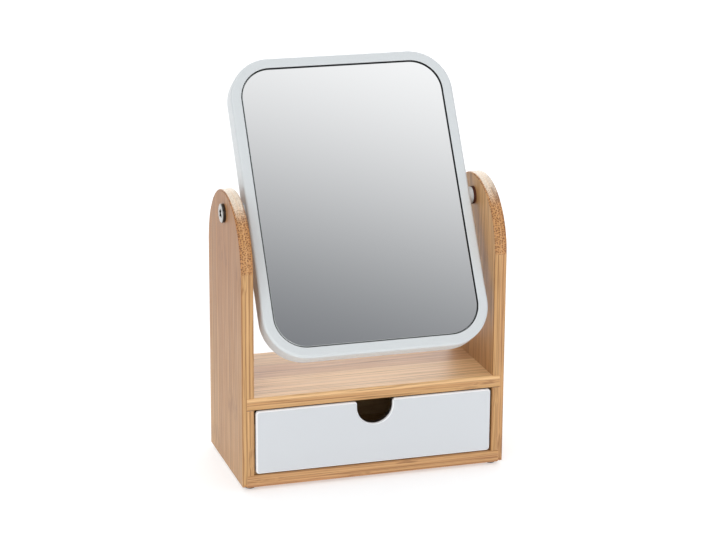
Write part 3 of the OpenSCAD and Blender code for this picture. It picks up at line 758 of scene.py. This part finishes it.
def paper_floor(name):
    """Roll of matt white background paper, lit a little from below. The eye sees an even white with a
    faint tooth, and hardly a shadow."""
    s = settings().studio
    glow = {"Emission Color": WHITE, "Emission Strength": s.floor_glow}
    material, tree, shader = start_material(name, {"Specular IOR Level": 0.2, **glow})
    tooth_size = 0.8 * MM
    tooth = uneven(tree, tooth_size)
    tone = clouded(tree, tooth, 0.02, s.floor, s.floor_tooth)
    matt = add(tree, "MapRange", (tooth, *MIDDLE, 0.88, 0.94), **SOFT)
    finish_surface(tree, shader, tone, matt, tooth, strength=0.02, depth=0.05 * MM)
    return material


def dress(material, *nodes):
    """Gives these nodes of the model one material."""
    for node in nodes:
        slots = frame["nodes"][node].data.materials
        slots.clear()
        slots.append(material)


class MIRROR_OT_side_panels(bpy.types.Operator):
    """Laminated bamboo on the two side panels, with the grain upright"""

    bl_idname = "makeup_mirror.side_panels"
    bl_label = "Side panels"

    def execute(self, context):
        s = settings().bamboo
        for node, (seed, height_shade_shares) in PANELS.items():
            low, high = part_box(node)
            start = (STRIP_START, low.x - s.sanded_off)
            radius = (high.y - low.y) / 2
            round_top = (high.z - radius, radius)
            material = bamboo(f"bamboo_{node}", "YXZ", start, s.panel_ply, seed, round_top, height_shade_shares)
            dress(material, node)
        return {"FINISHED"}


class MIRROR_OT_boards(bpy.types.Operator):
    """Laminated bamboo on the shelf and the bottom board, with the grain from side to side"""

    bl_idname = "makeup_mirror.boards"
    bl_label = "Shelf and bottom board"

    def execute(self, context):
        s = settings().bamboo
        for node, seed in BOARDS.items():
            low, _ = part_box(node)
            start = (STRIP_START, low.z - s.sanded_off)
            dress(bamboo(f"bamboo_{node}", "YZX", start, s.board_ply, seed), node)
        return {"FINISHED"}


class MIRROR_OT_drawer_front(bpy.types.Operator):
    """White lacquer on the drawer front"""

    bl_idname = "makeup_mirror.drawer_front"
    bl_label = "Drawer front"

    def execute(self, context):
        dress(lacquered_board("white_lacquer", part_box("drawer_front")[0].y), "drawer_front")
        return {"FINISHED"}


class MIRROR_OT_plywood_parts(bpy.types.Operator):
    """Bare plywood on the drawer's box and on the back panel"""

    bl_idname = "makeup_mirror.plywood_parts"
    bl_label = "Drawer box and back panel"

    def execute(self, context):
        for node in ("drawer_left_side", "drawer_right_side"):
            dress(plywood(f"plywood_{node}", "ZXY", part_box(node)[0].x), node)
        for node in ("drawer_back", "back_panel"):
            dress(plywood(f"plywood_{node}", "ZYX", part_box(node)[0].y), node)
        dress(plywood("plywood_drawer_bottom", "YZX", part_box("drawer_bottom")[0].z), "drawer_bottom")
        return {"FINISHED"}


class MIRROR_OT_mirror_frame(bpy.types.Operator):
    """White moulded plastic on the frame, its cover and the spacers"""

    bl_idname = "makeup_mirror.mirror_frame"
    bl_label = "Mirror frame"

    def execute(self, context):
        axis, normal = Vector(pivot()), Vector(mirror_normal())
        corners = frame["nodes"]["mirror_frame"].data.vertices
        front = max((corner.co - axis).dot(normal) for corner in corners)
        # The frame's material carries painted shade on the wall of its glass pocket
        dress(moulded_plastic("pocket_shaded_plastic", front), "mirror_frame")
        dress(moulded_plastic("white_plastic"), "rear_cover", "left_spacer", "right_spacer")
        return {"FINISHED"}


class MIRROR_OT_mirror_glass(bpy.types.Operator):
    """Silvered glass, and the foam tape behind it"""

    bl_idname = "makeup_mirror.mirror_glass"
    bl_label = "Mirror glass"

    def execute(self, context):
        dress(silvered_glass("silvered_glass"), "mirror_glass")
        dress(foam_tape("foam_tape"), "glass_tape")
        return {"FINISHED"}


def new_object(name, data):
    """A new object in the scene."""
    obj = bpy.data.objects.new(name, data)
    bpy.context.scene.collection.objects.link(obj)
    return obj


def closed_mesh(name, corners, faces):
    """A mesh with its faces looking outwards."""
    mesh = bpy.data.meshes.new(name)
    mesh.from_pydata(corners, [], faces)
    sides = bmesh.new()
    sides.from_mesh(mesh)
    bmesh.ops.recalc_face_normals(sides, faces=sides.faces)
    sides.to_mesh(mesh)
    sides.free()
    return mesh


def screw_profile(tip, top, radius):
    """Points of a pan head screw's profile from its tip to the crown of its head, each with its place
    along the axis and its radius."""
    s = settings().hardware
    under = top - s.head_height
    shoulder_top = top - s.crown
    points = [(tip, s.shank_radius), (under, s.shank_radius), (under, radius)]
    for step in range(ARC_STEPS + 1):
        turn = math.pi / 2 * step / ARC_STEPS
        points.append((
            shoulder_top - s.shoulder * (1 - math.sin(turn)), radius - s.shoulder * (1 - math.cos(turn))
        ))
    face = radius - s.shoulder
    for step in range(1, ARC_STEPS):
        share = 1 - step / ARC_STEPS
        points.append((top - s.crown * share ** 2, face * share))
    return points


def turned_mesh(name, profile, side):
    """A closed mesh turned about the pivots' axis, side being 1 on the right and -1 on the left."""
    _, y, z = pivot()
    corners = []
    for along, radius in profile:
        for step in range(TURN_STEPS):
            turn = 2 * math.pi * step / TURN_STEPS
            corners.append((side * along, y + radius * math.cos(turn), z + radius * math.sin(turn)))
    rings = [range(i * TURN_STEPS, (i + 1) * TURN_STEPS) for i in range(len(profile))]
    faces = [tuple(rings[0]), tuple(rings[-1])]
    for one, other in zip(rings, rings[1:]):
        for step in range(TURN_STEPS):
            after = (step + 1) % TURN_STEPS
            faces.append((one[step], one[after], other[after], other[step]))
    return closed_mesh(name, corners, faces)


def recess_bar(top, side, turn):
    """A bar, narrower at its foot, that cuts one slot of a cross recess. It is turned about the axis."""
    s = settings().hardware
    _, y, z = pivot()
    lean = turn + settings().glass.lean
    across = Vector((0, math.cos(lean), math.sin(lean)))
    along = Vector((0, -math.sin(lean), math.cos(lean)))
    corners = []
    for height, (reach_share, width_share) in (
        (top + s.recess_depth, BAR_ABOVE), (top - s.recess_depth, BAR_FOOT),
    ):
        middle = Vector((side * height, y, z))
        to_tip = reach_share * s.recess_reach * across
        to_side = width_share * s.recess_width / 2 * along
        for a, b in SQUARE:
            corners.append(tuple(middle + a * to_tip + b * to_side))
    faces = [(0, 1, 2, 3), (4, 5, 6, 7)] + [(i, (i + 1) % 4, (i + 1) % 4 + 4, i + 4) for i in range(4)]
    return closed_mesh("recess_bar", corners, faces)


def cut_recess(piece, top, side):
    """Cuts a cross recess into a screw's head, one slot with each bar."""
    cutters = []
    for turn in (0, math.pi / 2):
        cutter = new_object("recess_bar", recess_bar(top, side, turn))
        cut = piece.modifiers.new("recess", "BOOLEAN")
        cut.solver = "EXACT"
        cut.object = cutter
        cutters.append(cutter)
    shaped = piece.evaluated_get(bpy.context.evaluated_depsgraph_get())
    plain = piece.data
    piece.data = bpy.data.meshes.new_from_object(shaped)
    piece.modifiers.clear()
    bpy.data.meshes.remove(plain)
    for cutter in cutters:
        bpy.data.meshes.remove(cutter.data)


def pivot_screw(side_name, side):
    """A pan head screw with a cross recess, in the place and size of the model's plain one."""
    s = settings().hardware
    node = f"{side_name}_pivot_screw"
    name = f"{side_name}_pan_head_screw"
    low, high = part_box(node)
    tip, top = sorted((abs(low.x), abs(high.x)))
    profile = screw_profile(tip, top, (high.y - low.y) / 2)
    piece = new_object(name, turned_mesh(name, profile, side))
    cut_recess(piece, top, side)
    piece.data.shade_smooth()
    piece.data.set_sharp_from_angle(angle=SHARP_ANGLE)
    piece.data.materials.append(turned_metal(f"{side_name}_chrome", s.chrome, s.chrome_roughness, top))
    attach(piece, "mirror")
    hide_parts(node)


class MIRROR_OT_pivots(bpy.types.Operator):
    """Chrome screws, brass inserts and fibre washers of the two pivots"""

    bl_idname = "makeup_mirror.pivots"
    bl_label = "Pivots"

    def execute(self, context):
        s = settings().hardware
        pivot_screw("left", -1)
        pivot_screw("right", 1)
        dress(turned_metal("turned_brass", s.brass, s.brass_roughness), "left_insert", "right_insert")
        washer = matt_moulding("washer_fibre", s.fibre, s.fibre_bloom)
        dress(washer, "left_friction_washer", "right_friction_washer")
        return {"FINISHED"}


class MIRROR_OT_feet(bpy.types.Operator):
    """Dark rubber on the four feet"""

    bl_idname = "makeup_mirror.feet"
    bl_label = "Feet"

    def execute(self, context):
        s = settings().hardware
        feet = [node for node in frame["nodes"] if node.startswith("foot_")]
        dress(matt_moulding("foot_rubber", s.rubber, s.rubber_bloom), *feet)
        return {"FINISHED"}


def direction(azimuth, elevation):
    """Unit vector towards a place in the studio, azimuth 0 being in front and 90 on the right."""
    a, e = math.radians(azimuth), math.radians(elevation)
    return (math.sin(a) * math.cos(e), -math.cos(a) * math.cos(e), math.sin(e))


def studio_light():
    """Light that comes from afar: a bright canopy overhead, whose edge the mirror shows, and softboxes."""
    s = settings().studio
    world = bpy.context.scene.world or bpy.data.worlds.new("studio")
    bpy.context.scene.world = world
    world.use_nodes = True
    tree = world.node_tree
    tree.nodes.clear()
    ray = add(tree, "TexCoord", out="Generated")
    towards = add(tree, "VectorMath", (ray, CANOPY_TOWARDS), **DOT)
    canopy = add(tree, "MapRange", (towards, CANOPY_DARK, CANOPY_BRIGHT, 0.0, s.canopy), **SOFT)
    height = add(tree, "SeparateXYZ", (ray,), out="Z")
    above = add(tree, "MapRange", (height, CANOPY_FOOT, CANOPY_FULL), **SOFT)
    light = add(tree, "Math", (canopy, above), operation="MULTIPLY")
    for setting, azimuth, elevation, inner, outer in SOFTBOXES:
        centre = direction(azimuth, elevation)
        near = add(tree, "VectorMath", (ray, centre), **DOT)
        edges = (math.cos(math.radians(outer)), math.cos(math.radians(inner)))
        glow = add(tree, "MapRange", (near, *edges, 0.0, getattr(s, setting)), **SOFT)
        light = add(tree, "Math", (light, glow), operation="ADD")
    lit = add(tree, "VectorMath", (tuple(s.ambient)[:3], light), operation="ADD")
    seen = add(tree, "LightPath", out="Is Camera Ray")
    shown = add(tree, "Mix", {SHARE: seen, FROM: lit, TO: WHITE}, **COLOURS)
    add(tree, "OutputWorld", {"Surface": add(tree, "Background", {"Color": shown})})


def floor():
    """A large plain floor that isn't part of the object."""
    corners = [(a * FLOOR_HALF_WIDTH, b * FLOOR_HALF_WIDTH, 0) for a, b in SQUARE]
    mesh = bpy.data.meshes.new("floor")
    mesh.from_pydata(corners, [], [(0, 1, 2, 3)])
    mesh.materials.append(paper_floor("paper_floor"))
    obj = new_object("floor", mesh)


def camera():
    """The camera at the photograph's point of view."""
    s = settings().camera
    data = bpy.data.cameras.new("photograph")
    data.sensor_width = SENSOR_WIDTH_MM
    data.lens = s.focal_pixels * SENSOR_WIDTH_MM / IMAGE_WIDTH
    obj = new_object("photograph", data)
    back = Vector(direction(math.degrees(s.azimuth), math.degrees(s.elevation)))
    right = Vector((0, 0, 1)).cross(back).normalized()
    up = back.cross(right)
    turned_right = right * math.cos(s.roll) + up * math.sin(s.roll)
    turned_up = up * math.cos(s.roll) - right * math.sin(s.roll)
    turn = Matrix((turned_right, turned_up, back)).transposed()
    obj.rotation_mode = "QUATERNION"
    obj.rotation_quaternion = turn.to_quaternion()
    obj.location = Vector(s.target) + back * s.distance
    bpy.context.scene.camera = obj


class MIRROR_OT_stage(bpy.types.Operator):
    """Floor, studio light and the photograph's camera"""

    bl_idname = "makeup_mirror.stage"
    bl_label = "Studio"

    def execute(self, context):
        floor()
        studio_light()
        camera()
        context.scene.view_settings.view_transform = "Standard"
        return {"FINISHED"}


class MIRROR_PT_sidebar(bpy.types.Panel):
    """Lists the steps and the settings in the 3D view's sidebar"""

    bl_idname = "MIRROR_PT_sidebar"
    bl_label = "Makeup Mirror"
    bl_space_type = "VIEW_3D"
    bl_region_type = "UI"
    bl_category = "Makeup Mirror"

    def draw(self, context):
        for operator in OPERATORS:
            self.layout.operator(operator.bl_idname)
        groups = context.scene.makeup_mirror
        for name in type(groups).__annotations__:
            box = self.layout.box()
            box.label(text=name.capitalize())
            group = getattr(groups, name)
            for setting in type(group).__annotations__:
                box.prop(group, setting)


OPERATORS = (
    MIRROR_OT_stage,
    MIRROR_OT_side_panels,
    MIRROR_OT_boards,
    MIRROR_OT_drawer_front,
    MIRROR_OT_plywood_parts,
    MIRROR_OT_mirror_frame,
    MIRROR_OT_mirror_glass,
    MIRROR_OT_pivots,
    MIRROR_OT_feet,
)

CLASSES = (
    BambooSettings,
    WhiteSettings,
    GlassSettings,
    HardwareSettings,
    PlywoodSettings,
    CameraSettings,
    StudioSettings,
    MakeupMirrorSettings,
    *OPERATORS,
    MIRROR_PT_sidebar,
)


def register():
    for cls in CLASSES:
        bpy.utils.register_class(cls)
    bpy.types.Scene.makeup_mirror = PointerProperty(type=MakeupMirrorSettings)


def unregister():
    del bpy.types.Scene.makeup_mirror
    for cls in reversed(CLASSES):
        bpy.utils.unregister_class(cls)


def main():
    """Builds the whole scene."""
    register()
    for operator in OPERATORS:
        _, name = operator.bl_idname.split(".")
        getattr(bpy.ops.makeup_mirror, name)()


if __name__ == "__main__":
    main()
